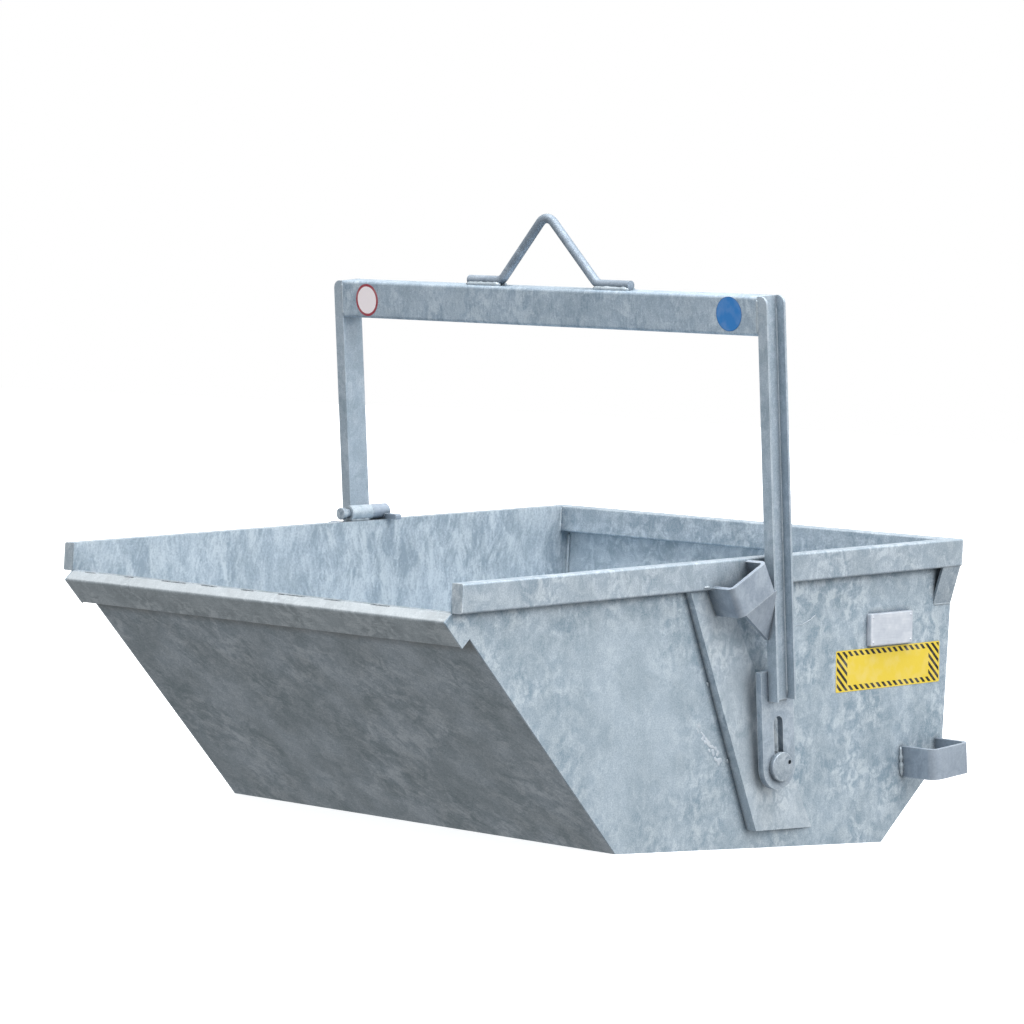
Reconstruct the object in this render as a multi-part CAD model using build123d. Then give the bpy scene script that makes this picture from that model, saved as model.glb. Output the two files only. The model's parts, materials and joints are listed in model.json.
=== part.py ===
from build123d import *
import os
from math import cos, radians, sin, tan

os.makedirs("parts", exist_ok=True)

# Crane tipping hopper, in millimetres. +X is the right side, -Y the pouring edge, +Z up.
# The origin is the middle of the floor's underside.

# Body plates
plate = 4.0
body_width = 1148.0
floor_length = 790.0
front_angle = 44.7
front_length = 674.6
rear_angle = 45.0
rear_rise = 178.0

# Rim along the sides and the rear, lip under the pouring edge
rim_step = 57.5
rim_slope = 4.2
rim_height = 57.5
rim_width = 26.0
rim_plate = 3.0
rim_bend = 1.0
rim_reach = 1.0
rear_rim_width = 30.0
lip_height = 69.0
lip_width = 26.0
lip_plate = 4.0
lip_bend = 1.0

# Strips that prop the rim at the rear corners
corner_width = 55.0
corner_drop = 80.0
corner_plate = 6.0

# Pivot of the yoke
pin_y = 20.0
pin_z = 170.0
pin_diameter = 26.0
boss_diameter = 60.0
washer_diameter = 56.0
washer_plate = 3.0
disc_diameter = 60.0
disc_plate = 10.0
disc_edge = 1.5
disc_hole_diameter = 9.0
disc_hole_radius = 21.0
disc_hole_angle = 28.0

# Wedge-shaped stiffener on each side, leaning from the pivot to the front stop
stiffener_plate = 5.0
stiffener_width = 196.0
stiffener_lead = 99.5
stiffener_lean = 24.6
stiffener_taper = 1.2
stiffener_foot = 38.0

# Yoke, sizes along the leg measured from the pin
yoke_lean = 7.25
yoke_height = 955.0
leg_foot = 137.0
leg_depth = 56.0
leg_flange = 26.0
leg_plate = 5.0
leg_bend = 2.0
leg_corner = 17.0
beam_height = 80.0
beam_plate = 4.0
beam_bend = 7.0
slot_plate = 14.5
slot_plate_width = 94.0
slot_plate_top = 198.0
slot_travel = 90.0

# Lifting eye of round bar
eye_bar = 20.0
eye_half = 143.0
eye_rise = 146.0
eye_foot = 97.0
eye_bend = 28.0

# Loops of flat bar: the front pair stops the legs, the rear pair carries them folded back
loop_plate = 8.0
stop_bar = 66.0
stop_bend = 6.0
stop_length = 114.5
stop_tilt = 30.5
stop_setback = 28.0
stop_drop = 2.6
stop_beyond_leg = 10.0
gusset_plate = 10.0
gusset_tip = 262.0
gusset_inset = 6.0
rest_bar = 65.0
rest_bend = 14.0
rest_length = 117.0
rest_inset = 133.0
rest_reach = 93.0
fold_angle = 8.0

# Latch on the left rim
latch_tube_diameter = 34.0
latch_tube_length = 61.0
latch_shaft_diameter = 20.0
latch_head_diameter = 26.0
latch_head_plate = 10.0
latch_neck = 13.0
latch_inset = 10.0
latch_hub_length = 48.0
latch_arm_width = 16.0
latch_arm_length = 52.0
latch_arm_plate = 12.0

# Clearances
bore_gap = 0.1
running_gap = 0.05
side_gap = 0.25
slot_gap = 0.4
disc_gap = 0.4
stop_gap = 0.5
rest_gap = 0.6
latch_gap = 3.0
latch_side_gap = 1.0
seat_gap = 0.1

# Derived places
side = body_width / 2
inside = side - plate
rim_side = side + rim_width
boss_face = rim_side
slot_plate_in = boss_face + washer_plate + 2 * side_gap
leg_in = slot_plate_in + slot_plate
leg_out = leg_in + leg_flange
disc_in = leg_in + disc_gap
pin_radius = pin_diameter / 2
floor_front = -floor_length / 2
floor_rear = floor_length / 2
front_cos = cos(radians(front_angle))
front_sin = sin(radians(front_angle))
pour_y = floor_front - front_length * front_cos
pour_z = front_length * front_sin
rear_y = floor_rear + rear_rise / tan(radians(rear_angle))
rim_front = pour_y - rim_reach
rim_front_height = pour_z + rim_step
rim_rise = tan(radians(rim_slope))
rim_way = Vector(0, cos(radians(rim_slope)), sin(radians(rim_slope)))
rim_radius = rim_bend + rim_plate
lean_cos = cos(radians(yoke_lean))
lean_tan = tan(radians(yoke_lean))
yoke_frame = Location((0, pin_y, pin_z), (yoke_lean, 0, 0))
nodes = {}


def rim_top(y):
    """Height of the rim's top face at a place along the hopper."""
    return rim_front_height + (y - rim_front) * rim_rise


def front_point(along, out):
    """Point of the front plate: along its slope from the floor, and outwards from its face."""
    y = floor_front - along * front_cos - out * front_sin
    return (y, along * front_sin - out * front_cos)


def flat(*points):
    """Flat outline through points of its plane."""
    return Polygon(*points, align=None)


def bent_block(width, depth, radius):
    """Flat outline of a folded bar: square at its foot, rounded at its two far corners."""
    block = Pos(width / 2, depth / 2) * Rectangle(width, depth)
    return fillet(block.vertices().group_by(Axis.Y)[-1], radius)


def channel(width, depth, sheet, bend):
    """Flat outline of a sheet folded to a U that is open at its foot, bent inside to a radius."""
    hollow = Pos(sheet, 0) * bent_block(width - 2 * sheet, depth - sheet, bend)
    return bent_block(width, depth, bend + sheet) - hollow


def across(section, low, high):
    """Solid with a side-view section in Y and Z, between two X places."""
    return extrude(Plane.YZ.offset(low) * section, high - low, dir=(1, 0, 0))


def along_rim(section, front, rear):
    """Solid that runs along the sloping rim: its section is height over the rim's foot, and reach."""
    start = Plane(origin=(side, front, rim_top(front) - rim_height), x_dir=(0, 0, 1), z_dir=(0, 1, 0))
    return extrude(start * section, (rear - front) / rim_way.Y, dir=rim_way)


def pivot_cylinder(radius, low, high):
    """Round solid on the pivot axis of the right side."""
    return extrude(Plane.YZ.offset(low) * Pos(pin_y, pin_z) * Circle(radius), high - low)


def both_sides(name, right):
    """Keep a right-hand piece and its mirror image as two nodes."""
    nodes[name + "_right"] = right
    nodes[name + "_left"] = mirror(right, about=Plane.YZ)


def body_plates():
    """Folded floor, front and rear, mitred where they meet, between the two side plates."""
    front_mitre = plate * tan(radians(front_angle / 2))
    floor_mitre = plate * tan(radians(rear_angle / 2))
    rear_mitre = plate * tan(radians((90 - rear_angle) / 2))
    floor_a, floor_b = (floor_front, 0), (floor_rear, 0)
    inner_a, inner_b = (floor_front + front_mitre, plate), (floor_rear - floor_mitre, plate)
    knee, inner_knee = (rear_y, rear_rise), (rear_y - plate, rear_rise + rear_mitre)
    rear_top = (rear_y, rim_top(rear_y))
    inner_top = (rear_y - plate, rim_top(rear_y - plate))
    pour_out, pour_in = front_point(front_length, 0), front_point(front_length, -plate)
    outlines = {
        "floor_plate": (floor_a, floor_b, inner_b, inner_a),
        "front_plate": (pour_out, floor_a, inner_a, pour_in),
        "rear_slope_plate": (floor_b, knee, inner_knee, inner_b),
        "rear_plate": (knee, rear_top, inner_top, inner_knee),
    }
    for name, outline in outlines.items():
        nodes[name] = across(flat(*outline), -inside, inside)


def side_plate():
    """Side wall, with the ends of the lip and the openings for the pin."""
    nose = rim_reach / front_sin
    outline = flat(
        (floor_front, 0),
        (floor_rear, 0),
        (rear_y, rear_rise),
        (rear_y, rim_top(rear_y)),
        (rim_front, rim_front_height),
        front_point(front_length, nose),
        front_point(front_length, lip_width),
        front_point(front_length - lip_height, lip_width),
        front_point(front_length - lip_height, 0),
    )
    wall = across(outline, inside, side)
    both_sides("side_plate", wall - pivot_cylinder(pin_radius + bore_gap, inside, side))


def front_lip():
    """Folded channel under the pouring edge, open towards the front plate."""
    slope = Plane(origin=(-inside, floor_front, 0), x_dir=(0, -front_cos, front_sin), z_dir=(1, 0, 0))
    section = Pos(front_length - lip_height, 0) * channel(lip_height, lip_width, lip_plate, lip_bend)
    nodes["front_lip"] = extrude(slope * section, 2 * inside)


def side_rims():
    """Folded channels along the side plates, closed by a cap at each end."""
    front, rear = rim_front + rim_plate, rear_y - rim_plate
    both_sides("side_rim", along_rim(channel(rim_height, rim_width, rim_plate, rim_bend), front, rear))
    cap = bent_block(rim_height, rim_width, rim_radius)
    both_sides("rim_cap_front", along_rim(cap, rim_front, front))
    both_sides("rim_cap_rear", along_rim(cap, rear, rear_y))


def rear_rim():
    """Folded channel inside the top of the rear plate."""
    back = rear_y - plate
    front = back - rear_rim_width
    web = front + rim_plate
    section = flat(
        (back, rim_top(back)),
        (front, rim_top(front)),
        (front, rim_top(front) - rim_height),
        (back, rim_top(back) - rim_height),
        (back, rim_top(back) - rim_height + rim_plate),
        (web, rim_top(web) - rim_height + rim_plate),
        (web, rim_top(web) - rim_plate),
        (back, rim_top(back) - rim_plate),
    )
    section = fillet(section.vertices().group_by(Axis.X)[1], rim_bend)
    section = fillet(section.vertices().group_by(Axis.X)[0], rim_radius)
    nodes["rear_rim"] = across(section, -inside, inside)


def corner_strips():
    """Sloping flat strips from the rim's underside down to the side plate."""
    reach = rim_width - rim_radius
    toe = corner_plate * corner_drop / reach
    section = flat((0, reach), (0, reach - corner_plate), (toe - corner_drop, 0), (-corner_drop, 0))
    both_sides("corner_strip", along_rim(section, rear_y - corner_width, rear_y))


def stiffener_form(sheet):
    """Wedge on the side plate, up to the rim: its front edge leans, its face tapers; inset by a sheet."""
    lean = tan(radians(stiffener_lean))
    taper = tan(radians(stiffener_taper))
    front = pin_y - stiffener_lead + (pin_z - stiffener_foot) * lean
    rear = front + stiffener_width
    ceiling = rim_top(rear_y)
    shift = (ceiling - stiffener_foot) * lean
    slab = flat(
        (front + sheet, stiffener_foot),
        (rear, stiffener_foot),
        (rear - shift, ceiling),
        (front + sheet - shift, ceiling),
    )
    above = flat(
        (rim_front, rim_top(rim_front) - rim_height),
        (rear_y, rim_top(rear_y) - rim_height),
        (rear_y, 2 * ceiling),
        (rim_front, 2 * ceiling),
    )
    outward = Vector(-rim_width, stiffener_width, 0).cross(Vector(-taper, -lean, 1))
    face = Plane(origin=(rim_side, front, stiffener_foot), z_dir=outward)
    return split(across(slab - above, side, rim_side), face.offset(-sheet), keep=Keep.BOTTOM)


def stiffener():
    """Folded sheet: a flange at the front edge, and a face that runs back to the wall."""
    wedge = stiffener_form(0)
    bore = pivot_cylinder(pin_radius + bore_gap, side, boss_face)
    both_sides("side_stiffener", wedge - stiffener_form(stiffener_plate) - bore)
    return wedge


def pivot(wedge):
    """Boss, pin, thrust washer and retaining disc, outwards from the side plate."""
    bore = pivot_cylinder(pin_radius + bore_gap, inside, disc_in)
    boss = pivot_cylinder(boss_diameter / 2, side, boss_face)
    both_sides("pivot_boss", boss - wedge - bore)
    both_sides("pivot_pin", pivot_cylinder(pin_radius, inside, disc_in))
    washer = pivot_cylinder(washer_diameter / 2, boss_face + side_gap, slot_plate_in - side_gap)
    both_sides("thrust_washer", washer - pivot_cylinder(pin_radius + running_gap, side, disc_in))
    disc = pivot_cylinder(disc_diameter / 2, disc_in, disc_in + disc_plate)
    disc = chamfer(disc.edges().group_by(Axis.X)[-1], disc_edge)
    turn = radians(disc_hole_angle)
    hole = Pos(0, disc_hole_radius * cos(turn), disc_hole_radius * sin(turn)) * pivot_cylinder(
        disc_hole_diameter / 2, disc_in, disc_in + disc_plate
    )
    both_sides("retaining_disc", disc - hole)


def bar_loop(corner, tilt, length, bar, out, bend):
    """Flat bar bent to a U: two arms out from the wall and a run between them."""
    run = Vector(0, cos(radians(tilt)), sin(radians(tilt)))
    down = Vector(0, run.Z, -run.Y)
    frame = Plane(origin=(side, corner[0], corner[1]), x_dir=run, z_dir=down)
    return extrude(frame * channel(length, out - side, loop_plate, bend), bar)


def front_stops(wedge):
    """Tilted loops ahead of the legs, each with a leaning plate that its leg comes to rest on."""
    level = rim_top(pin_y)
    leg_front = pin_y - leg_depth / 2 / lean_cos - (level - pin_z) * lean_tan
    run_y, run_z = cos(radians(stop_tilt)), sin(radians(stop_tilt))
    rear_corner = leg_front - stop_setback
    corner = (
        rear_corner - stop_length * run_y,
        rim_top(rear_corner) - stop_drop - stop_length * run_z,
    )
    out = leg_out + stop_beyond_leg
    loop = bar_loop(corner, stop_tilt, stop_length, stop_bar, out, stop_bend)
    rim = along_rim(bent_block(rim_height, rim_width, rim_radius), rim_front, rear_y)
    both_sides("stop_loop", loop - rim - wedge)

    def loop_edge(run):
        y = corner[0] + run * run_y + stop_bar * run_z
        return (out, y, corner[1] + run * run_z - stop_bar * run_y)

    tip = yoke_frame * Pos(leg_in + gusset_inset, -leg_depth / 2, gusset_tip)
    corners = (loop_edge(stop_bend + loop_plate), loop_edge(stop_length), tip.position)
    gusset = extrude(make_face(Polyline(*corners, close=True)), gusset_plate, dir=(-1, 0, 0))
    leg_space = yoke_frame * Box(2 * out, leg_depth + 2 * stop_gap, 2 * yoke_height)
    both_sides("stop_gusset", gusset - leg_space)


def rear_rests():
    """Loops at the rear, level with the underside of the legs when the yoke is folded back."""
    run_y, run_z = cos(radians(fold_angle)), sin(radians(fold_angle))
    below = leg_depth / 2 + rest_gap
    start_y = rear_y - rest_inset
    start = (start_y - pin_y - below * run_z) / run_y
    corner = (start_y, pin_z + start * run_z - below * run_y)
    loop = bar_loop(corner, fold_angle, rest_length, rest_bar, side + rest_reach, rest_bend)
    both_sides("rest_loop", loop)


def yoke():
    """Beam, channel legs, slotted plates and lifting eye, modelled upright and then leaned."""
    half = leg_depth / 2
    outline = flat(
        (leg_in, -half),
        (leg_out, -half),
        (leg_out, leg_plate - half),
        (leg_in + leg_plate, leg_plate - half),
        (leg_in + leg_plate, half - leg_plate),
        (leg_out, half - leg_plate),
        (leg_out, half),
        (leg_in, half),
    )
    outline = fillet(outline.vertices().group_by(Axis.X)[0], leg_bend)
    leg = extrude(Plane.XY.offset(leg_foot) * outline, yoke_height - leg_foot)
    top_edges = leg.edges().filter_by(Axis.Y).group_by(Axis.Z)[-1]
    leg = fillet(top_edges.group_by(Axis.X)[-1], leg_corner)
    both_sides("yoke_leg", yoke_frame * leg)

    tongue = Pos(0, slot_plate_top / 2) * Rectangle(slot_plate_width, slot_plate_top)
    tongue = tongue + Circle(slot_plate_width / 2)
    slot = SlotCenterToCenter(slot_travel, pin_diameter + 2 * slot_gap, rotation=90)
    tongue = tongue - Pos(0, slot_travel / 2) * slot
    both_sides("slot_plate", yoke_frame * extrude(Plane.YZ.offset(slot_plate_in) * tongue, slot_plate))

    tube = RectangleRounded(leg_depth, beam_height, beam_bend)
    tube = tube - RectangleRounded(
        leg_depth - 2 * beam_plate, beam_height - 2 * beam_plate, beam_bend - beam_plate
    )
    tube = Pos(0, yoke_height - beam_height / 2) * tube
    nodes["lifting_beam"] = yoke_frame * extrude(Plane.YZ.offset(-leg_in) * tube, 2 * leg_in)

    foot = yoke_height + eye_bar / 2 + seat_gap
    end = eye_half + eye_foot
    path = FilletPolyline(
        (-end, 0, foot),
        (-eye_half, 0, foot),
        (0, 0, foot + eye_rise),
        (eye_half, 0, foot),
        (end, 0, foot),
        radius=eye_bend,
    )
    section = Plane(origin=path @ 0, z_dir=path % 0) * Circle(eye_bar / 2)
    nodes["lifting_eye"] = yoke_frame * sweep(section, path=path)


def latch():
    """Tube on the left rim, with a shaft that carries a head and a flip-over arm.

    The arm is modelled swung in over the hopper, clear of the left leg.
    """
    radius = latch_tube_diameter / 2
    hub = radius - stop_gap
    leg_rear = pin_y + leg_depth / 2 / lean_cos - (rim_top(pin_y) - pin_z) * lean_tan
    place_y = leg_rear + latch_gap
    lift = (radius + seat_gap) / rim_way.Y
    frame = Location((latch_inset - rim_side, place_y, rim_top(place_y) + lift), (rim_slope, 0, 0))

    def turned(diameter, front, rear):
        return frame * extrude(Plane.XZ.offset(-front) * Circle(diameter / 2), front - rear)

    hub_front = latch_arm_width - latch_hub_length
    tube_rear = hub_front - latch_side_gap
    tube_front = tube_rear - latch_tube_length
    head_rear = tube_front - latch_neck
    head_front = head_rear - latch_head_plate
    bore = turned(latch_shaft_diameter + 2 * running_gap, head_front, latch_arm_width)
    nodes["latch_tube"] = turned(latch_tube_diameter, tube_front, tube_rear) - bore
    nodes["latch_shaft"] = turned(latch_shaft_diameter, head_rear, latch_arm_width)
    nodes["latch_head"] = turned(latch_head_diameter, head_front, head_rear)
    blade = Pos(latch_arm_length / 2, latch_arm_plate / 2 - hub) * Rectangle(
        latch_arm_length, latch_arm_plate
    )
    blade = fillet(blade.vertices().group_by(Axis.X)[-1], latch_arm_plate / 3)
    blade = frame * extrude(Plane.XZ * blade, -latch_arm_width)
    nodes["latch_arm"] = turned(2 * hub, hub_front, latch_arm_width) + blade - bore


body_plates()
side_plate()
front_lip()
side_rims()
rear_rim()
corner_strips()
wedge_form = stiffener()
pivot(wedge_form)
front_stops(wedge_form)
rear_rests()
yoke()
latch()
for node, shape in nodes.items():
    export_step(shape, f"parts/{node}.step")
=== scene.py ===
import json
import math
import random

import bmesh
import bpy
from mathutils import Matrix, Vector


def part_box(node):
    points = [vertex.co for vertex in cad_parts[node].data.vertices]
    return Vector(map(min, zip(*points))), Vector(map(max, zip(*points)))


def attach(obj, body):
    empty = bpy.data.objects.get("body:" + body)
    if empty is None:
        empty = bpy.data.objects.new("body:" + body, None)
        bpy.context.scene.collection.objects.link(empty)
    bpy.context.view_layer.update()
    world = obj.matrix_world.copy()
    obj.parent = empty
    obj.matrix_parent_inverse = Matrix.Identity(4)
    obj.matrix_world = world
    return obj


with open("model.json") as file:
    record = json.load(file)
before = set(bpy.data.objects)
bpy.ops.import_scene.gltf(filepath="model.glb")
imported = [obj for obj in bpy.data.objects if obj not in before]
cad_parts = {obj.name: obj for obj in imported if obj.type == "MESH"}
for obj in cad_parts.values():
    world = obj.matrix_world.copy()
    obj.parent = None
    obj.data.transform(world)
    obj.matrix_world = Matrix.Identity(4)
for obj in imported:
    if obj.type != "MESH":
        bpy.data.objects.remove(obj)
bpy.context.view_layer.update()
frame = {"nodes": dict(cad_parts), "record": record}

MM = 0.001
DRAW = random.Random(11)
NODES = frame["nodes"]
JOINTS = {joint["name"]: joint for joint in frame["record"]["behaviour"]["joints"]}

# Places taken from the frame: X to the hopper's right, Y to its rear, Z up
PIN = Vector(JOINTS["yoke_swing"]["pos_m"])
YOKE_UP = Vector(JOINTS["yoke_lift"]["axis"]).normalized()
YOKE_BACK = YOKE_UP.cross((1, 0, 0))
LATCH = Vector(JOINTS["latch_flip"]["pos_m"])
RIM_WAY = -Vector(JOINTS["latch_flip"]["axis"]).normalized()
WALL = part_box("side_plate_right")[1][0]
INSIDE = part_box("side_plate_right")[0][0]
RIM_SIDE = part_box("side_rim_right")[1][0]
LEG_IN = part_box("yoke_leg_right")[0][0]
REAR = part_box("rear_plate")[1][1]
REAR_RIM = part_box("rear_rim")[0][1]
LIP_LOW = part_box("front_lip")[0][2]
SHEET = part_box("floor_plate")[1][2]
SLOPE_DOWN = math.radians(44.7)
SLOPE_FACING = (0, -math.sin(SLOPE_DOWN), -math.cos(SLOPE_DOWN))
RIGHT, LEFT = 1, -1

# Colours that lie over the zinc: painted shade with a stain below the lip, painted light on faces that look
# up, painted shade in corners, and painted highlights on edges
SHADE_AND_STAIN_COLOUR = "#605c55"
TOP_LIGHT_COLOUR = "#f1f5f8"
CORNER_SHADE_COLOUR = "#434f5a"
EDGE_HIGHLIGHT_COLOUR = "#dbe4eb"


def linear(hex_colour):
    """sRGB hex to the linear RGBA that the shaders use."""
    values = [int(hex_colour[i:i + 2], 16) / 255 for i in (1, 3, 5)]
    return [v / 12.92 if v <= 0.04045 else ((v + 0.055) / 1.055) ** 2.4 for v in values] + [1.0]


def add(tree, kind, inputs=None, stops=None, **settings):
    """Add a shader node, with its settings, its colour stops, and its values or links by socket.

    A Map Range takes its value at 0, from a range at 1 and 2 to a range at 3 and 4. A Mix takes its
    share at 0, and two numbers at 2 and 3 or two colours at 6 and 7; the mixed colour is output 2.
    """
    node = tree.nodes.new(kind)
    for name, value in settings.items():
        setattr(node, name, value)
    for name, value in (inputs or {}).items():
        if isinstance(value, bpy.types.NodeSocket):
            tree.links.new(value, node.inputs[name])
        else:
            node.inputs[name].default_value = value
    if stops:
        ramp = node.color_ramp
        while len(ramp.elements) < len(stops):
            ramp.elements.new(0.5)
        for element, (place, colour) in zip(ramp.elements, stops):
            element.position = place
            element.color = linear(colour)
    return node


def new_material(name):
    """An empty material with its shader, ready for nodes."""
    material = bpy.data.materials.new(name)
    material.use_nodes = True
    tree = material.node_tree
    tree.nodes.clear()
    shader = add(tree, "ShaderNodeBsdfPrincipled")
    add(tree, "ShaderNodeOutputMaterial", {"Surface": shader.outputs[0]})
    return material, tree, shader


def zinc_leaves(tree, place, patch, stretch, curl):
    """Curled leaves of zinc, about a patch wide and stretch times as high."""
    high = add(tree, "ShaderNodeMapping", {"Vector": place, "Scale": (1, 1, 1 / stretch)})
    leaves = add(tree, "ShaderNodeTexNoise",
                 {"Vector": high.outputs[0], "Scale": 1 / (2 * patch), "Detail": 6.0, "Roughness": 0.62,
                  "Distortion": curl})
    return leaves.outputs[0]


def ragged_places(tree, place, patch):
    """Places shifted by up to two patches, so that a border drawn from them runs ragged."""
    wander = add(tree, "ShaderNodeTexNoise", {"Vector": place, "Scale": 1 / (1.5 * patch), "Detail": 4.0})
    ragged = add(tree, "ShaderNodeVectorMath",
                 {0: wander.outputs["Color"], 1: (2 * patch,) * 3, 2: place}, operation="MULTIPLY_ADD")
    return ragged.outputs[0]


def zinc_feathers(tree, place, ragged, patch, facing, draw, turn, spread):
    """Feathers of zinc, drawn out in each crystal in a way of its own."""
    crystals = add(tree, "ShaderNodeTexVoronoi", {"Vector": ragged, "Scale": 1 / (2.5 * patch)})
    crystal = add(tree, "ShaderNodeSeparateColor", {0: crystals.outputs["Color"]})
    least, most = math.radians(turn - spread / 2), math.radians(turn + spread / 2)
    angle = add(tree, "ShaderNodeMapRange", {0: crystal.outputs[0], 3: least, 4: most})
    turned = add(tree, "ShaderNodeVectorRotate",
                 {"Vector": place, "Axis": facing, "Angle": angle.outputs[0]})
    drawn = add(tree, "ShaderNodeMapping", {"Vector": turned.outputs[0], "Scale": draw})
    feathers = add(tree, "ShaderNodeTexNoise",
                   {"Vector": drawn.outputs[0], "Scale": 1 / (0.4 * patch), "Detail": 3.0,
                    "Roughness": 0.6})
    return feathers.outputs[0]


def share_shown(tree, place, ragged, normal, patch, calm, spot, strong):
    """How much of the leaves and feathers shows: less where the zinc set smooth."""
    smooth = add(tree, "ShaderNodeTexNoise", {"Vector": place, "Scale": 1 / (9 * patch), "Detail": 2.0})
    shown = add(tree, "ShaderNodeMapRange", {0: smooth.outputs[0], 1: 0.42, 2: 0.58, 3: calm, 4: 1.0})
    if spot:
        centre, inner, outer = spot
        away = add(tree, "ShaderNodeVectorMath", {0: ragged, 1: centre}, operation="DISTANCE")
        around = add(tree, "ShaderNodeMapRange",
                     {0: away.outputs["Value"], 1: inner, 2: outer, 3: 0.25, 4: 1.0})
        shown = add(tree, "ShaderNodeMath", {0: shown.outputs[0], 1: around.outputs[0]},
                    operation="MULTIPLY")
    if strong:
        agree = add(tree, "ShaderNodeVectorMath", {0: normal, 1: strong}, operation="DOT_PRODUCT")
        clear = add(tree, "ShaderNodeMapRange", {0: agree.outputs["Value"], 3: 0.6, 4: 1.0})
        shown = add(tree, "ShaderNodeMath", {0: shown.outputs[0], 1: clear.outputs[0]},
                    operation="MULTIPLY")
    return shown.outputs[0]


def painted_shade_and_stain(tree, colour, place, normal, leaves, low, high):
    """Painted shade and a brownish stain: faces that look down are darkened in patches, more and more from
    the low height to the high one.
    """
    height = add(tree, "ShaderNodeSeparateXYZ", {0: place}).outputs[2]
    upward = add(tree, "ShaderNodeSeparateXYZ", {0: normal}).outputs[2]
    rising = add(tree, "ShaderNodeMapRange", {0: height, 1: low, 2: high, 3: 0.0, 4: 1.0})
    under = add(tree, "ShaderNodeMapRange", {0: upward, 1: 0.0, 2: -0.3, 3: 0.0, 4: rising.outputs[0]})
    share = add(tree, "ShaderNodeMath", {0: under.outputs[0], 1: leaves}, operation="MULTIPLY")
    shaded_and_stained = add(tree, "ShaderNodeMix", {0: share.outputs[0], 6: colour, 7: linear(SHADE_AND_STAIN_COLOUR)},
                  data_type="RGBA")
    return shaded_and_stained.outputs[2]


def painted_top_light(tree, colour, normal, top):
    """Painted light: faces that look up are made paler."""
    upward = add(tree, "ShaderNodeSeparateXYZ", {0: normal}).outputs[2]
    share = add(tree, "ShaderNodeMapRange", {0: upward, 1: 0.2, 2: 0.6, 3: 0.0, 4: top})
    top_lit = add(tree, "ShaderNodeMix", {0: share.outputs[0], 6: colour, 7: linear(TOP_LIGHT_COLOUR)},
                 data_type="RGBA")
    return top_lit.outputs[2]


def painted_corner_shade(tree, colour, corner_shade, reach):
    """Painted shade: corners and covered places are darkened where the occlusion node finds surfaces near.
    """
    open_sky = add(tree, "ShaderNodeAmbientOcclusion", {"Distance": reach}, samples=4)
    share = add(tree, "ShaderNodeMapRange", {0: open_sky.outputs["AO"], 1: 0.92, 2: 0.45, 3: 0.0, 4: corner_shade})
    corner_shaded = add(tree, "ShaderNodeMix", {0: share.outputs[0], 6: colour, 7: linear(CORNER_SHADE_COLOUR)},
                 data_type="RGBA")
    return corner_shaded.outputs[2]


def painted_edge_highlight(tree, colour, normal, edge):
    """Painted highlight: edges are made bright, about 2.5 mm to each side."""
    rounded = add(tree, "ShaderNodeBevel", {"Radius": 2.5 * MM}, samples=3)
    agree = add(tree, "ShaderNodeVectorMath", {0: rounded.outputs[0], 1: normal}, operation="DOT_PRODUCT")
    share = add(tree, "ShaderNodeMapRange", {0: agree.outputs["Value"], 1: 0.995, 2: 0.8, 3: 0.0, 4: edge})
    highlighted = add(tree, "ShaderNodeMix", {0: share.outputs[0], 6: colour, 7: linear(EDGE_HIGHLIGHT_COLOUR)},
               data_type="RGBA")
    return highlighted.outputs[2]


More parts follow.
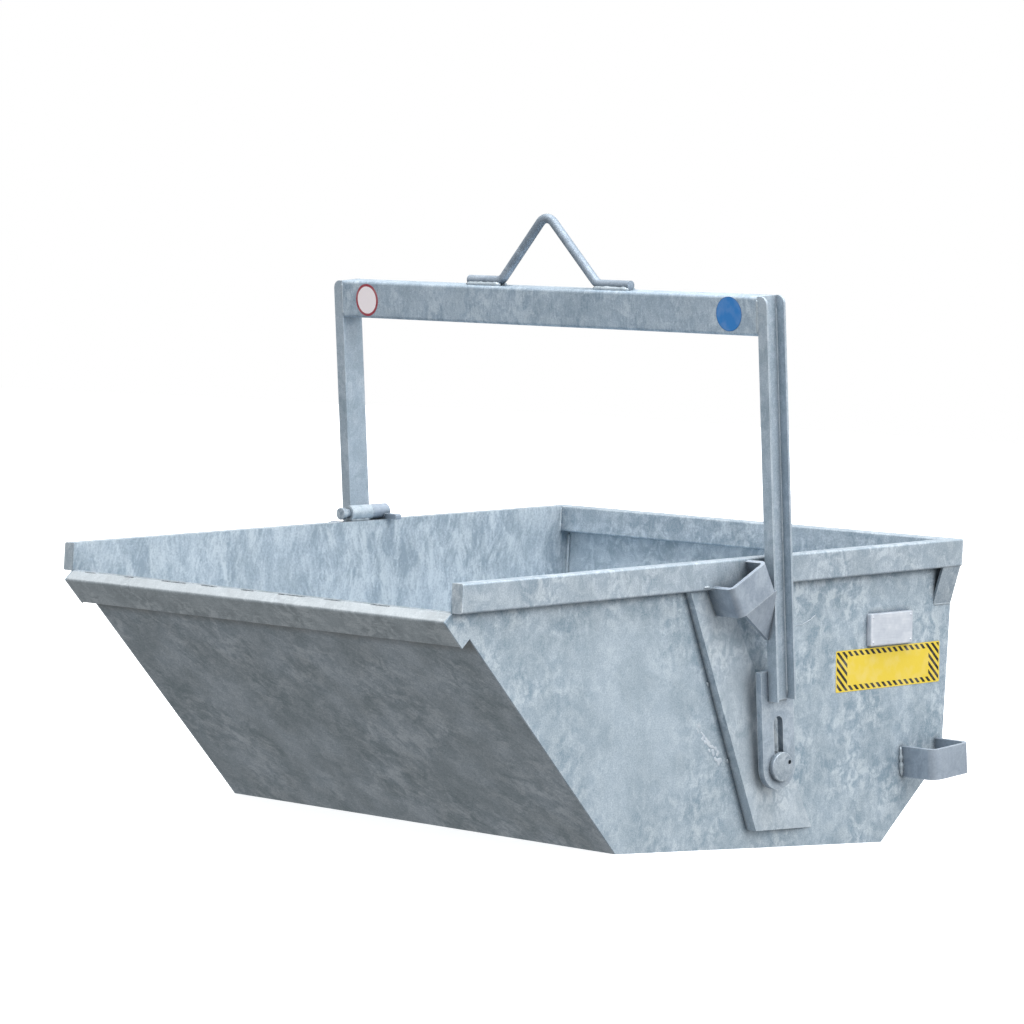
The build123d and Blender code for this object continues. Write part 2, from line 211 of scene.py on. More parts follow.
def galvanised(name, tones, patch, facing=(1, 0, 0), draw=(1, 1, 0.2), turn=0, spread=50, stretch=1.0,
               leaf=0.5, curl=0.8, feather=0.8, cloud=0.4, grain=0.9, calm=0.4, spot=None, strong=None,
               tint="#c6c7c0", tinge=0.15, edge=0.5, corner_shade=0.8, reach=16 * MM, top=0.0, shade_and_stain_band=None,
               roughness=0.5):
    """Hot-dip galvanised steel: curled zinc leaves and feathered crystals, with painted shade in corners
    and painted highlights on edges.

    The tones run from dark to light. A leaf is about a patch wide, and stretch times as high. The
    feathers of each crystal are drawn out in a way of its own, within the spread of degrees about the
    turn, on a face that looks along facing. Leaf, feather, cloud and grain are how strong these are.
    Calm is what is left of the pattern where the zinc set smooth, which it does about the spot, if
    there is one: its centre, and its inner and outer radius. The pattern is clearest on faces that
    look along strong, and weaker on the others. The clouds are tinged with the tint. Edge is how
    strong the painted highlight on edges is, top how much painted light pales the faces that look
    up, and the share of corner shade how dark the painted shade in corners is, out to its reach. The
    shade-and-stain band is the lower and upper height over which faces that look down are darkened
    with painted shade and a stain.
    """
    material, tree, shader = new_material(name)
    place = add(tree, "ShaderNodeTexCoord").outputs["Object"]
    normal = add(tree, "ShaderNodeNewGeometry").outputs["Normal"]
    leaves = zinc_leaves(tree, place, patch, stretch, curl)
    ragged = ragged_places(tree, place, patch)
    feathers = zinc_feathers(tree, place, ragged, patch, facing, draw, turn, spread)
    shown = share_shown(tree, place, ragged, normal, patch, calm, spot, strong)
    clouds = add(tree, "ShaderNodeTexNoise", {"Vector": place, "Scale": 1 / (6 * patch), "Detail": 5.0})
    grains = add(tree, "ShaderNodeTexNoise", {"Vector": place, "Scale": 1 / (0.2 * patch), "Detail": 2.0})

    leaved = add(tree, "ShaderNodeMapRange", {0: leaves, 1: 0.4, 2: 0.6, 3: -0.5 * leaf, 4: 0.5 * leaf})
    tone = add(tree, "ShaderNodeMath", {0: feathers, 1: feather, 2: leaved.outputs[0]},
               operation="MULTIPLY_ADD")
    tone = add(tree, "ShaderNodeMath", {0: tone.outputs[0], 1: 0.5 * feather}, operation="SUBTRACT")
    tone = add(tree, "ShaderNodeMath", {0: tone.outputs[0], 1: shown, 2: 0.5 - 0.5 * (cloud + grain)},
               operation="MULTIPLY_ADD")
    for part, share in ((clouds, cloud), (grains, grain)):
        tone = add(tree, "ShaderNodeMath", {0: part.outputs[0], 1: share, 2: tone.outputs[0]},
                   operation="MULTIPLY_ADD")

    colour = add(tree, "ShaderNodeValToRGB", {0: tone.outputs[0]},
                 stops=list(zip((0.15, 0.5, 0.85), tones))).outputs[0]
    tinged = add(tree, "ShaderNodeMapRange", {0: clouds.outputs[0], 1: 0.62, 2: 0.4, 3: 0.0, 4: tinge})
    colour = add(tree, "ShaderNodeMix", {0: tinged.outputs[0], 6: colour, 7: linear(tint)},
                 data_type="RGBA", blend_type="MULTIPLY").outputs[2]
    if shade_and_stain_band:
        colour = painted_shade_and_stain(tree, colour, place, normal, leaves, *shade_and_stain_band)
    if top:
        colour = painted_top_light(tree, colour, normal, top)
    if corner_shade:
        colour = painted_corner_shade(tree, colour, corner_shade, reach)
    if edge:
        colour = painted_edge_highlight(tree, colour, normal, edge)
    tree.links.new(colour, shader.inputs["Base Color"])

    # Weathered zinc is partly oxide, so it is only partly metallic; paler zinc is smoother
    shader.inputs["Metallic"].default_value = 0.4
    rough = add(tree, "ShaderNodeMapRange",
                {0: tone.outputs[0], 1: 0.2, 2: 0.8, 3: roughness + 0.08, 4: roughness - 0.08})
    tree.links.new(rough.outputs[0], shader.inputs["Roughness"])
    bump = add(tree, "ShaderNodeBump", {"Strength": 0.2, "Distance": 0.5 * MM, "Height": tone.outputs[0]})
    tree.links.new(bump.outputs[0], shader.inputs["Normal"])
    return material


# Right wall: pale zinc with curled leaves, smooth in the middle of the wall, and strong painted shade under
# the rim and in corners
PLATE = galvanised("hot_dip_galvanised_plate", ("#91a6b6", "#b0c0cd", "#cfdce5"), 13 * MM, leaf=0.6,
                   curl=0.5, edge=0, corner_shade=0.95,
                   spot=((WALL, -360 * MM, 260 * MM), 100 * MM, 340 * MM))
# Stiffeners, rear wall, front caps and latch tube: tones a little paler, as painted light for faces that
# get less light, and a thin painted shade beside the slotted plates
PLATE_PAINTED_LIGHTER = galvanised("hot_dip_galvanised_plate_painted_lighter", ("#a5b6c3", "#bdcad5", "#d6e1e9"), 13 * MM, leaf=0.6,
                  edge=0, corner_shade=0.6, reach=6 * MM)
# Left wall, rear slope and floor: strong feathered crystals, as on plate that cooled slowly, and a wide,
# faint painted shade towards the corners
INNER = galvanised("hot_dip_galvanised_plate_feathered", ("#99a9b7", "#b6c4cf", "#d3dee6"), 20 * MM,
                   stretch=2.0, leaf=0.55, curl=0.6, feather=1.5, draw=(1, 1, 0.14), calm=0.6,
                   strong=(1, 0, 0), edge=0, corner_shade=0.35, reach=110 * MM)
# Pouring slope: faint wisps that run across the plate; below the lip, a band darkened with painted shade
# and a brownish stain
SLOPE = galvanised("hot_dip_galvanised_slope", ("#8f9ea7", "#a8b4be", "#c4ced6"), 18 * MM,
                   facing=SLOPE_FACING, draw=(0.2, 1, 1), turn=35, spread=30, leaf=0.4, cloud=0.6,
                   tint="#b7b3a4", tinge=0.2, edge=0, shade_and_stain_band=(LIP_LOW - 16.6 * MM, LIP_LOW - 0.6 * MM))
# Folded sheet: like the walls, with painted highlights on the bends and painted shade in corners
FOLD = galvanised("hot_dip_galvanised_folded_sheet", ("#91a3b2", "#acbac6", "#cad6df"), 15 * MM,
                  corner_shade=0.75, reach=50 * MM)
# Lip: dull zinc, with painted light that makes its faces that look up paler, and painted highlights on its
# edges
LIP = galvanised("hot_dip_galvanised_lip", ("#99a3aa", "#aeb9c0", "#c8d1d7"), 13 * MM, draw=(0.1, 1, 1),
                 spread=10, leaf=0.55, edge=0.6, tinge=0.1, top=0.24)
# Beam: short upright feathers
BEAM = galvanised("hot_dip_galvanised_hollow_section", ("#91a5b7", "#adbecd", "#cbd9e4"), 13 * MM,
                  facing=(0, 1, 0), draw=(1, 1, 0.15), spread=24, leaf=0.4, feather=1.1, corner_shade=0.6)
# Legs: drawn out along their length
LEG = galvanised("hot_dip_galvanised_channel", ("#97a9b7", "#adbcc9", "#c6d2dc"), 13 * MM,
                 draw=(1, 1, 0.1), spread=16, leaf=0.3, feather=0.7, corner_shade=0.5)
# Loops, gussets and latch arm, of flat bar: smoother and a little darker, with painted highlights on edges
# and painted shade inside the loops
BAR = galvanised("hot_dip_galvanised_bar", ("#8f9cad", "#a4b1c0", "#bcc8d4"), 18 * MM, leaf=0.3,
                 feather=0.5, grain=0.4, edge=0.7, reach=45 * MM)
# Lifting eye: darker and duller than the flat bar; its darker tones are painted shade that holds down the
# lamps' light on its top
EYE_PAINTED_DARKER = galvanised("hot_dip_galvanised_round_bar_painted_darker", ("#7d8a98", "#909dab", "#a8b4c0"), 14 * MM, leaf=0.4,
                 feather=0.5, edge=0, roughness=0.6)
# Slotted plates: cut from thick plate, paler than the bar, with painted highlights on the cut edges
THICK = galvanised("hot_dip_galvanised_thick_plate", ("#97a7b6", "#acbac8", "#c4d0da"), 15 * MM, leaf=0.4,
                   feather=0.5, edge=0.9, reach=40 * MM)
# Turned pieces: dull, close grain
TURNED = galvanised("galvanised_turned_steel", ("#8b99a6", "#a5b2be", "#c4cfd8"), 8 * MM, leaf=0.6,
                    edge=0.4)
# Weld beads: thick zinc over the ripples
WELD = galvanised("galvanised_weld", ("#9eabb5", "#b4c0c9", "#cdd7de"), 8 * MM, leaf=0.3, edge=0,
                  corner_shade=0.12)
# Zinc that ran down the wall and set: paler than the plate
RUN = galvanised("set_zinc_run", ("#c0ccd9", "#d0dbe6", "#e3eaf1"), 8 * MM, leaf=0.4, edge=0, corner_shade=0)


def open_seam_shade():
    """Painted shade of the gap between two plates that the zinc left open: almost black, with paler dust in
    places.
    """
    material, tree, shader = new_material("open_seam_shade")
    place = add(tree, "ShaderNodeTexCoord").outputs["Object"]
    dust = add(tree, "ShaderNodeTexNoise", {"Vector": place, "Scale": 1 / (9 * MM), "Detail": 3.0})
    colour = add(tree, "ShaderNodeValToRGB", {0: dust.outputs[0]},
                 stops=[(0.35, "#4a5258"), (0.65, "#97a2aa")])
    tree.links.new(colour.outputs[0], shader.inputs["Base Color"])
    shader.inputs["Roughness"].default_value = 0.9
    return material


def brushed_aluminium():
    """Bare aluminium nameplate: pale, finely brushed along its length, with a few dull marks."""
    material, tree, shader = new_material("brushed_aluminium")
    place = add(tree, "ShaderNodeTexCoord").outputs["Object"]
    # The brush lines are about 0.1 mm apart; they are drawn at 2 mm so that they show
    brushed = add(tree, "ShaderNodeMapping", {"Vector": place, "Scale": (1, 0.03, 1)})
    lines = add(tree, "ShaderNodeTexNoise",
                {"Vector": brushed.outputs[0], "Scale": 1 / (2 * MM), "Detail": 3.0})
    marks = add(tree, "ShaderNodeTexNoise", {"Vector": place, "Scale": 1 / (22 * MM), "Detail": 4.0})
    tone = add(tree, "ShaderNodeMath", {0: lines.outputs[0], 1: 0.5, 2: marks.outputs[0]},
               operation="MULTIPLY_ADD")
    colour = add(tree, "ShaderNodeValToRGB", {0: tone.outputs[0]},
                 stops=[(0.5, "#c4ccd8"), (0.75, "#d3dae4"), (1.0, "#e3e8f0")])
    tree.links.new(colour.outputs[0], shader.inputs["Base Color"])
    # The sheet has gone dull in the weather, so it is only partly metallic
    shader.inputs["Metallic"].default_value = 0.35
    rough = add(tree, "ShaderNodeMapRange", {0: lines.outputs[0], 1: 0.3, 2: 0.7, 3: 0.36, 4: 0.52})
    tree.links.new(rough.outputs[0], shader.inputs["Roughness"])
    bump = add(tree, "ShaderNodeBump", {"Strength": 0.15, "Distance": 0.2 * MM, "Height": lines.outputs[0]})
    tree.links.new(bump.outputs[0], shader.inputs["Normal"])
    return material


def weathered_film(tree, shader, print_colour, place):
    """Self-adhesive vinyl: the print fades in clouds and picks up fine scratches; a soft gloss."""
    clouds = add(tree, "ShaderNodeTexNoise", {"Vector": place, "Scale": 1 / (30 * MM), "Detail": 5.0})
    faded = add(tree, "ShaderNodeMapRange", {0: clouds.outputs[0], 1: 0.45, 2: 0.75, 3: 0.0, 4: 0.14})
    pale = add(tree, "ShaderNodeMix", {0: faded.outputs[0], 6: print_colour, 7: linear("#f3f1ea")},
               data_type="RGBA")
    tree.links.new(pale.outputs[2], shader.inputs["Base Color"])
    # The scratches are hair-fine; they are drawn 1.5 mm wide so that they show
    drawn = add(tree, "ShaderNodeMapping",
                {"Vector": place, "Rotation": (0.6, 0, 0), "Scale": (1, 1, 0.06)})
    scratches = add(tree, "ShaderNodeTexNoise", {"Vector": drawn.outputs[0], "Scale": 1 / (1.5 * MM)})
    rough = add(tree, "ShaderNodeMapRange", {0: scratches.outputs[0], 1: 0.4, 2: 0.7, 3: 0.38, 4: 0.6})
    tree.links.new(rough.outputs[0], shader.inputs["Roughness"])


def striped_film(centre, size, tilt, band, margin, pitch):
    """Yellow vinyl with a border of slanting black stripes and a plain middle.

    The size and the width of the border's band are along the wall and up it. The stripes stop short
    of the film's edge by the margin, and one comes at each pitch.
    """
    material, tree, shader = new_material("yellow_striped_vinyl_film")
    place = add(tree, "ShaderNodeTexCoord").outputs["Object"]
    local = add(tree, "ShaderNodeMapping", {"Vector": place, "Location": centre, "Rotation": (tilt, 0, 0)},
                vector_type="TEXTURE")
    across = add(tree, "ShaderNodeSeparateXYZ", {0: local.outputs[0]})
    slant = add(tree, "ShaderNodeMath", {0: across.outputs[1], 1: across.outputs[2]}, operation="ADD")
    count = add(tree, "ShaderNodeMath", {0: slant.outputs[0], 1: pitch}, operation="DIVIDE")
    share = add(tree, "ShaderNodeMath", {0: count.outputs[0]}, operation="FRACT")
    black = add(tree, "ShaderNodeMath", {0: share.outputs[0], 1: 0.5}, operation="LESS_THAN").outputs[0]
    border = 0.0
    for side, length, width in zip(across.outputs[1:], size, band):
        far = add(tree, "ShaderNodeMath", {0: side}, operation="ABSOLUTE").outputs[0]
        printed = add(tree, "ShaderNodeMath", {0: far, 1: length / 2 - margin}, operation="LESS_THAN")
        black = add(tree, "ShaderNodeMath", {0: black, 1: printed.outputs[0]},
                    operation="MULTIPLY").outputs[0]
        outer = add(tree, "ShaderNodeMath", {0: far, 1: length / 2 - width}, operation="GREATER_THAN")
        border = add(tree, "ShaderNodeMath", {0: border, 1: outer.outputs[0]},
                     operation="MAXIMUM").outputs[0]
    black = add(tree, "ShaderNodeMath", {0: black, 1: border}, operation="MULTIPLY").outputs[0]
    colour = add(tree, "ShaderNodeMix", {0: black, 6: linear("#e8cd42"), 7: linear("#1b1a15")},
                 data_type="RGBA")
    weathered_film(tree, shader, colour.outputs[2], place)
    return material


def round_film(name, centre, radius, rim, rim_colour, colour):
    """Round vinyl label: one plain colour inside a ring of another."""
    material, tree, shader = new_material(name)
    place = add(tree, "ShaderNodeTexCoord").outputs["Object"]
    away = add(tree, "ShaderNodeVectorMath", {0: place, 1: centre}, operation="DISTANCE").outputs["Value"]
    outer = add(tree, "ShaderNodeMath", {0: away, 1: radius - rim}, operation="GREATER_THAN").outputs[0]
    printed = add(tree, "ShaderNodeMix", {0: outer, 6: linear(colour), 7: linear(rim_colour)},
                  data_type="RGBA")
    weathered_film(tree, shader, printed.outputs[2], place)
    return material


def dress(material, *names):
    """Give a finish to nodes of the frame."""
    for name in names:
        for slot in NODES[name].material_slots:
            slot.material = material


def both(*names):
    """Names of the left and right nodes of pairs."""
    return [name + end for name in names for end in ("_left", "_right")]


dress(PLATE, "side_plate_right")
dress(PLATE_PAINTED_LIGHTER, "rear_plate", "latch_tube", *both("side_stiffener", "rim_cap_front"))
dress(INNER, "side_plate_left", "rear_slope_plate", "floor_plate")
dress(SLOPE, "front_plate")
dress(LIP, "front_lip")
dress(FOLD, "rear_rim", *both("side_rim", "rim_cap_rear", "corner_strip"))
dress(BEAM, "lifting_beam")
dress(LEG, *both("yoke_leg"))
dress(EYE_PAINTED_DARKER, "lifting_eye")
dress(BAR, "latch_arm", *both("stop_loop", "stop_gusset", "rest_loop"))
dress(THICK, *both("slot_plate"))
dress(TURNED, "latch_shaft", "latch_head",
      *both("pivot_boss", "pivot_pin", "thrust_washer", "retaining_disc"))


def keep_piece(name, shape, material, body, smooth=False):
    """Turn a finished shape into a piece that moves with a body."""
    bmesh.ops.recalc_face_normals(shape, faces=shape.faces)
    for face in shape.faces:
        face.smooth = smooth
    mesh = bpy.data.meshes.new(name)
    shape.to_mesh(mesh)
    shape.free()
    mesh.materials.append(material)
    piece = bpy.data.objects.new(name, mesh)
    bpy.context.collection.objects.link(piece)
    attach(piece, body)


def lay_bead(shape, start, end, radius, ripple=0.3):
    """Weld bead between two places: rings that swell and shrink with the torch, bridged, with closed ends.

    A ring comes at about every 1.2 radii. The end rings are half as wide, so that the bead runs out.
    """
    fewest, most = 4, 80
    start, end = Vector(start), Vector(end)
    way = end - start
    turn = way.to_track_quat("Z", "Y").to_matrix().to_4x4()
    count = min(most, max(fewest, round(way.length / (1.2 * radius))))
    before = None
    for step in range(count + 1):
        last = step in (0, count)
        swell = radius * (0.5 if last else 1 + ripple * DRAW.uniform(-1, 1))
        place = Matrix.Translation(start.lerp(end, step / count)) @ turn
        ring = bmesh.ops.create_circle(shape, cap_ends=last, radius=swell, segments=8, matrix=place)
        edges = list(dict.fromkeys(edge for vert in ring["verts"] for edge in vert.link_edges))
        if before:
            bmesh.ops.bridge_loops(shape, edges=before + edges)
        before = edges


def on_side(x, *places):
    """Places on a face that looks sideways: X in metres, and for each place Y and Z in millimetres."""
    return [Vector((x, y * MM, z * MM)) for y, z in places]


def on_yoke(x, back, up):
    """Place on the yoke: across the hopper, back from the legs' middle, and up the legs from the pin."""
    return PIN + Vector((x, 0, 0)) + YOKE_BACK * back + YOKE_UP * up


def inner_seam():
    """Places in Y and Z where the front, the floor and the rear slope meet a side wall on the inside."""
    floor, front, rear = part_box("floor_plate"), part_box("front_plate"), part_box("rear_slope_plate")
    short, bend = 8 * MM, 2 * MM
    pour = (front[0][1] + SHEET * math.sin(SLOPE_DOWN) + short, front[1][2] - short)
    return [pour, (floor[0][1] + bend, SHEET), (floor[1][1] - bend, SHEET), (REAR - SHEET, rear[1][2])]


def hopper_welds():
    """Beads where the loops, the stiffeners, the strips, the latch tube and the plates meet."""
    stiffener_tacks = ((-160, 334.5), (-88.6, 178.8))
    stiffener_lean = math.radians(24.6)
    half_tack = Vector((0, -math.sin(stiffener_lean), math.cos(stiffener_lean))) * 5 * MM
    stop_root = ((-213, 530), (-197, 531))
    rest_roots, rest_out = (((438, 199), (447, 137)), ((557, 213), (561, 184))), 2 * MM
    strip_foot = ((520, 497.5), (570, 501))
    rim_corner = ((REAR_RIM / MM, 577), (REAR_RIM / MM, 632))
    rear_corner, rear_in = ((REAR / MM - 5.5, 190), (REAR / MM - 5.5, 572)), 1.5 * MM
    tube_out, tube_low, tube_from, tube_to = 8 * MM, -14.5 * MM, 92 * MM, 36 * MM
    shape = bmesh.new()
    seam = inner_seam()
    for side in (RIGHT, LEFT):
        wall, inside = side * WALL, side * INSIDE
        for tack in on_side(wall, *stiffener_tacks):
            lay_bead(shape, tack - half_tack, tack + half_tack, radius=2.5 * MM)
        lay_bead(shape, *on_side(side * RIM_SIDE, *stop_root), radius=2.5 * MM)
        for root in rest_roots:
            lay_bead(shape, *on_side(wall + side * rest_out, *root), radius=4.2 * MM, ripple=0.4)
        lay_bead(shape, *on_side(wall, *strip_foot), radius=1.8 * MM)
        lay_bead(shape, *on_side(inside, *rim_corner), radius=3 * MM)
        lay_bead(shape, *on_side(inside - side * rear_in, *rear_corner), radius=3.6 * MM)
        for before, after in zip(seam, seam[1:]):
            lay_bead(shape, (inside, *before), (inside, *after), radius=3 * MM)
        tube_foot = LATCH + Vector((side * tube_out, 0, tube_low))
        lay_bead(shape, tube_foot - RIM_WAY * tube_from, tube_foot - RIM_WAY * tube_to, radius=4 * MM)
    keep_piece("hopper_welds", shape, WELD, "hopper", smooth=True)


def zinc_run():
    """Zinc that ran down the right wall to the stiffener and set in flat drops, and a thin trail of it."""
    trail = on_side(WALL, (82, 451), (115, 456), (138, 466), (152, 475))
    top, foot = on_side(WALL, (-186, 256), (-112, 178))
    drops, small, large, thickness, scatter = 45, 1.2 * MM, 3.8 * MM, 0.5 * MM, 7 * MM
    shape = bmesh.new()
    for before, after in zip(trail, trail[1:]):
        lay_bead(shape, before, after, radius=0.9 * MM)
    for step in range(drops):
        share = step / (drops - 1)
        shift = Vector((0, DRAW.uniform(-scatter, scatter), DRAW.uniform(-scatter, scatter)))
        wide = (small + (large - small) * share) * DRAW.uniform(0.5, 1.4)
        drop = bmesh.ops.create_uvsphere(shape, u_segments=12, v_segments=6, radius=1)["verts"]
        bmesh.ops.scale(shape, verts=drop, vec=(thickness, wide, 1.5 * wide))
        lean = Matrix.Rotation(math.radians(DRAW.uniform(20, 60)), 3, "X")
        bmesh.ops.rotate(shape, verts=drop, matrix=lean)
        bmesh.ops.translate(shape, verts=drop, vec=top.lerp(foot, share) + shift)
    keep_piece("zinc_run", shape, RUN, "hopper", smooth=True)


def yoke_welds():
    """Beads where legs, slotted plates, beam and eye meet, and zinc that ran into the legs' bends."""
    plate_half, plate_top = 27 * MM, 137 * MM
    beam_half, beam_low, beam_high = 27.5 * MM, 882 * MM, 948 * MM
    eye_half, eye_up, eye_from, eye_to = 9 * MM, 957 * MM, 140 * MM, 240 * MM
    bend_in, bend_back, bend_low, bend_high = 5 * MM, 23 * MM, 145 * MM, 930 * MM
    shape = bmesh.new()
    for side in (RIGHT, LEFT):
        leg = side * LEG_IN
        lay_bead(shape, on_yoke(leg, -plate_half, plate_top), on_yoke(leg, plate_half, plate_top),
                 radius=3.5 * MM)
        for back in (-beam_half, beam_half):
            lay_bead(shape, on_yoke(leg, back, beam_low), on_yoke(leg, back, beam_high), radius=2.8 * MM)
        for back in (-eye_half, eye_half):
            lay_bead(shape, on_yoke(side * eye_from, back, eye_up), on_yoke(side * eye_to, back, eye_up),
                     radius=6 * MM, ripple=0.15)
        bend = leg + side * bend_in
        lay_bead(shape, on_yoke(bend, bend_back, bend_low), on_yoke(bend, bend_back, bend_high),
                 radius=2 * MM, ripple=0.15)
    keep_piece("yoke_welds", shape, WELD, "yoke", smooth=True)


def lip_seam():
    """Dark dashes of painted shade along the pouring edge, where the front plate and the lip lie against
    each other.
    """
    low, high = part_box("front_plate")
    y = low[1] + SHEET * math.sin(SLOPE_DOWN) - 2.8 * MM
    z = high[2] - SHEET * math.cos(SLOPE_DOWN)
    x = -INSIDE + 40 * MM
    stop = INSIDE - 90 * MM
    shape = bmesh.new()
    while x < stop:
        length = DRAW.uniform(15, 80) * MM
        lay_bead(shape, (x, y, z), (x + length, y, z), radius=0.9 * MM, ripple=0.4)
        x += length + DRAW.uniform(20, 130) * MM
    keep_piece("lip_seam", shape, open_seam_shade(), "hopper")


def lay_film(shape, place):
    """Give a flat outline a film's thickness, and put it in place."""
    # Film is about 0.1 mm thick; it is made 0.4 mm so that its edge shows
    thickness = 0.4 * MM
    raised = bmesh.ops.extrude_face_region(shape, geom=shape.faces[:])["geom"]
    upper = [vert for vert in raised if isinstance(vert, bmesh.types.BMVert)]
    bmesh.ops.translate(shape, verts=upper, vec=(0, 0, thickness))
    bmesh.ops.transform(shape, verts=shape.verts, matrix=place)


def wall_place(y, z, tilt):
    """Frame on the right wall: first axis to the rear, second up, third outwards."""
    turn = Matrix(((0, 0, 1), (1, 0, 0), (0, 1, 0))).to_4x4()
    return Matrix.Translation((WALL, y, z)) @ Matrix.Rotation(tilt, 4, "X") @ turn


def wall_film():
    """Long striped film on the right wall, behind the yoke."""
    y, z, tilt = 385.8 * MM, 367.3 * MM, math.radians(3.9)
    length, height, corner = 325 * MM, 86 * MM, 3 * MM
    band, margin, pitch = (35 * MM, 13 * MM), 2.5 * MM, 17.4 * MM
    shape = bmesh.new()
    bmesh.ops.create_grid(shape, x_segments=1, y_segments=1, size=0.5)
    bmesh.ops.scale(shape, verts=shape.verts, vec=(length, height, 1))
    bmesh.ops.bevel(shape, geom=shape.verts, offset=corner, segments=3, profile=0.5, affect="VERTICES",
                    material=-1)
    lay_film(shape, wall_place(y, z, tilt))
    material = striped_film((WALL, y, z), (length, height), tilt, band, margin, pitch)
    keep_piece("striped_film", shape, material, "hopper")


def beam_films():
    """Two round labels on the front of the beam, near its ends."""
    radius, beam_front = 35 * MM, -28 * MM
    turn = Matrix((Vector((1, 0, 0)), YOKE_UP, -YOKE_BACK)).transposed().to_4x4()
    for name, x, up, rim, rim_colour, colour in (
            ("blue_label", 540.5 * MM, 918 * MM, 1.5 * MM, "#2368a8", "#2b7cc4"),
            ("ringed_label", -538.6 * MM, 914.6 * MM, 5.5 * MM, "#a03c49", "#f8eff2")):
        centre = on_yoke(x, beam_front, up)
        shape = bmesh.new()
        bmesh.ops.create_circle(shape, cap_ends=True, radius=radius, segments=48)
        lay_film(shape, Matrix.Translation(centre) @ turn)
        material = round_film(name + "_vinyl_film", centre, radius, rim, rim_colour, colour)
        keep_piece(name, shape, material, "yoke")


def nameplate():
    """Bare plate on the right wall: a sheet folded down on all sides, with four rivets."""
    y, z, tilt = 378.5 * MM, 447.8 * MM, math.radians(3.7)
    length, height, proud, sheet, fold = 131 * MM, 68 * MM, 12 * MM, 1.6 * MM, 3 * MM
    rivet_x, rivet_y = length / 2 - 7 * MM, height / 2 - 8 * MM
    rivet_foot, rivet_crown, rivet_high, rivet_round = 3 * MM, 1.4 * MM, 1.4 * MM, 0.3 * MM
    rivet_middle = proud + 0.6 * MM
    shape = bmesh.new()
    bmesh.ops.create_cube(shape, size=1)
    bmesh.ops.scale(shape, verts=shape.verts, vec=(length, height, proud))
    bmesh.ops.translate(shape, verts=shape.verts, vec=(0, 0, proud / 2))
    bends = [edge for edge in shape.edges if any(vert.co.z > 0.5 * proud for vert in edge.verts)]
    under = [face for face in shape.faces if face.normal.z < -0.5]
    bmesh.ops.delete(shape, geom=under, context="FACES_ONLY")
    bmesh.ops.bevel(shape, geom=bends, offset=fold, segments=3, profile=0.5, affect="EDGES", material=-1)
    bmesh.ops.solidify(shape, geom=shape.faces[:], thickness=sheet)
    for x_side in (-1, 1):
        for y_side in (-1, 1):
            place = Matrix.Translation((x_side * rivet_x, y_side * rivet_y, rivet_middle))
            head = bmesh.ops.create_cone(shape, cap_ends=True, segments=16, radius1=rivet_foot,
                                         radius2=rivet_crown, depth=rivet_high, matrix=place)
            edges = list(dict.fromkeys(edge for vert in head["verts"] for edge in vert.link_edges))
            bmesh.ops.bevel(shape, geom=edges, offset=rivet_round, segments=2, profile=0.5,
                            affect="EDGES", material=-1)
    bmesh.ops.transform(shape, verts=shape.verts, matrix=wall_place(y, z, tilt))
    keep_piece("nameplate", shape, brushed_aluminium(), "hopper")


hopper_welds()
zinc_run()
yoke_welds()
lip_seam()
wall_film()
beam_films()
nameplate()


def camera():
    """The photograph's view: a long lens from the front right, low and a little rolled."""
    azimuth, elevation, roll = math.radians(45.72), math.radians(1.81), math.radians(3.22)
    stand = (6.93995, -6.94029, 0.95068)
    back = Vector((math.sin(azimuth) * math.cos(elevation), -math.cos(azimuth) * math.cos(elevation),
                   math.sin(elevation)))
    level = Vector((math.cos(azimuth), math.sin(azimuth), 0))
    upright = back.cross(level)
    right = level * math.cos(roll) + upright * math.sin(roll)
    up = upright * math.cos(roll) - level * math.sin(roll)
    lens = bpy.data.cameras.new("camera")
    lens.lens = 163.4
    lens.sensor_width = 36.0
    lens.clip_end = 200.0
    eye = bpy.data.objects.new("camera", lens)
    eye.matrix_world = Matrix.Translation(stand) @ Matrix((right, up, back)).transposed().to_4x4()
    bpy.context.collection.objects.link(eye)
    bpy.context.scene.camera = eye


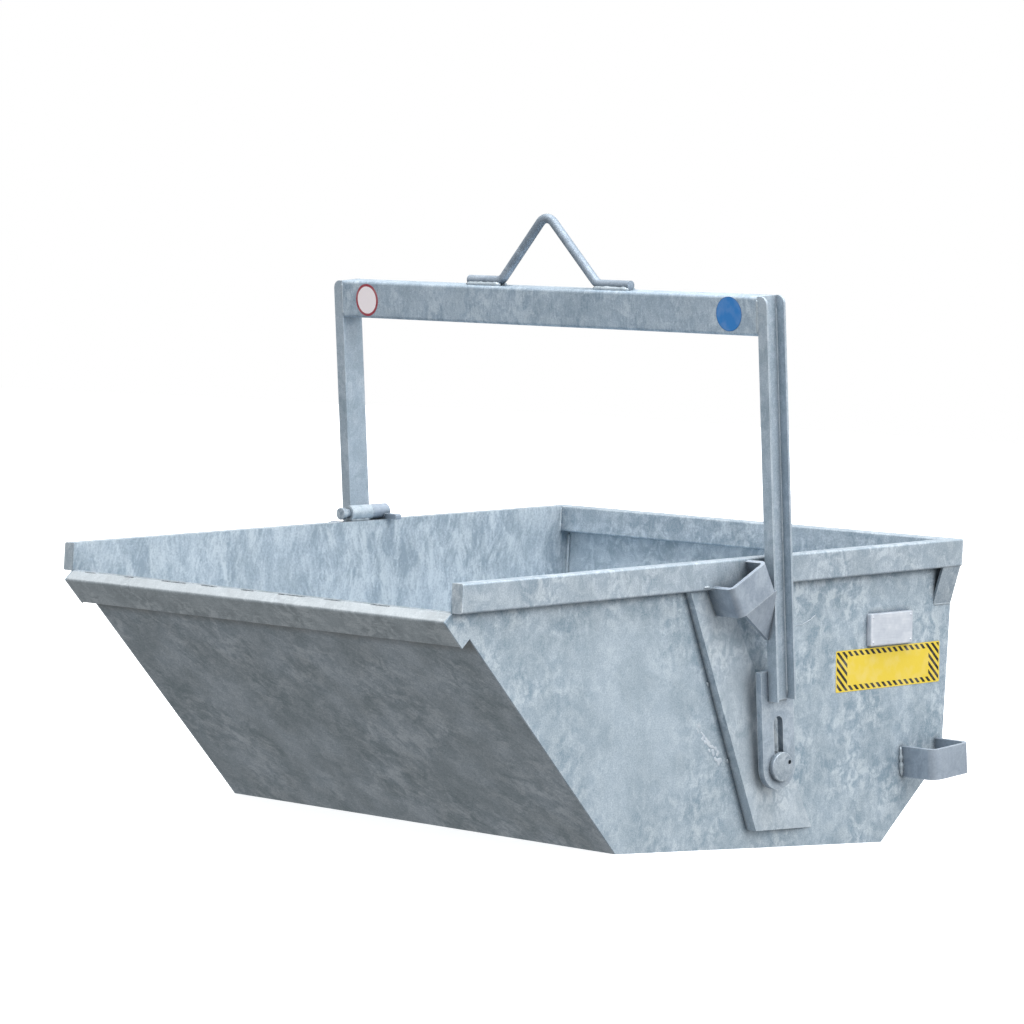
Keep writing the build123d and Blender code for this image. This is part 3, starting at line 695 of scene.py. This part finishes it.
def pale_floor():
    """Matt pale floor that fades to white away from the hopper, and neither lights nor shades it."""
    half, below = 60.0, 0.5 * MM
    fade_from, fade_to = 0.6, 2.2
    shape = bmesh.new()
    bmesh.ops.create_grid(shape, x_segments=1, y_segments=1, size=half)
    bmesh.ops.translate(shape, verts=shape.verts, vec=(0, 0, -below))
    mesh = bpy.data.meshes.new("floor")
    shape.to_mesh(mesh)
    shape.free()
    floor = bpy.data.objects.new("floor", mesh)
    bpy.context.collection.objects.link(floor)
    material, tree, shader = new_material("matt_pale_floor")
    shader.inputs["Base Color"].default_value = linear("#f4f5f6")
    shader.inputs["Roughness"].default_value = 0.9
    shader.inputs["Specular IOR Level"].default_value = 0.1
    place = add(tree, "ShaderNodeTexCoord").outputs["Object"]
    away = add(tree, "ShaderNodeVectorMath", {0: place}, operation="LENGTH").outputs["Value"]
    fade = add(tree, "ShaderNodeMapRange", {0: away, 1: fade_from, 2: fade_to, 3: 0.75, 4: 1.0},
               interpolation_type="SMOOTHSTEP")
    tree.links.new(fade.outputs[0], shader.inputs["Emission Strength"])
    shader.inputs["Emission Color"].default_value = linear("#ffffff")
    mesh.materials.append(material)
    floor.visible_diffuse = floor.visible_glossy = floor.visible_shadow = False


def pale_surroundings():
    """White behind the hopper, and soft light that is brightest from above and the right."""
    brightest = (0.35, 0.0, 0.92)
    world = bpy.data.worlds.new("studio")
    bpy.context.scene.world = world
    world.use_nodes = True
    tree = world.node_tree
    tree.nodes.clear()
    way = add(tree, "ShaderNodeTexCoord").outputs["Generated"]
    above = add(tree, "ShaderNodeVectorMath", {0: way, 1: brightest}, operation="DOT_PRODUCT")
    sky = add(tree, "ShaderNodeMapRange", {0: above.outputs["Value"], 1: -0.8, 2: 0.9, 3: 0.3, 4: 0.92})
    seen = add(tree, "ShaderNodeLightPath").outputs["Is Camera Ray"]
    strength = add(tree, "ShaderNodeMix", {0: seen, 2: sky.outputs[0], 3: 1.0})
    light = add(tree, "ShaderNodeBackground", {"Color": linear("#ffffff"), "Strength": strength.outputs[0]})
    add(tree, "ShaderNodeOutputWorld", {"Surface": light.outputs[0]})


def soft_box(name, place, size, power):
    """Large round lamp that looks at the hopper's middle."""
    aim = Vector((0, 0, 0.4))
    lamp = bpy.data.lights.new(name, "AREA")
    lamp.shape = "DISK"
    lamp.size = size
    lamp.energy = power
    box = bpy.data.objects.new(name, lamp)
    turn = (aim - Vector(place)).to_track_quat("-Z", "Y")
    box.matrix_world = Matrix.Translation(place) @ turn.to_matrix().to_4x4()
    bpy.context.collection.objects.link(box)


camera()
pale_floor()
pale_surroundings()
soft_box("overhead", place=(1.0, -0.8, 5.5), size=5.0, power=360)
soft_box("right_side", place=(5.5, 0.5, 3.5), size=4.0, power=130)
bpy.context.scene.view_settings.view_transform = "Standard"
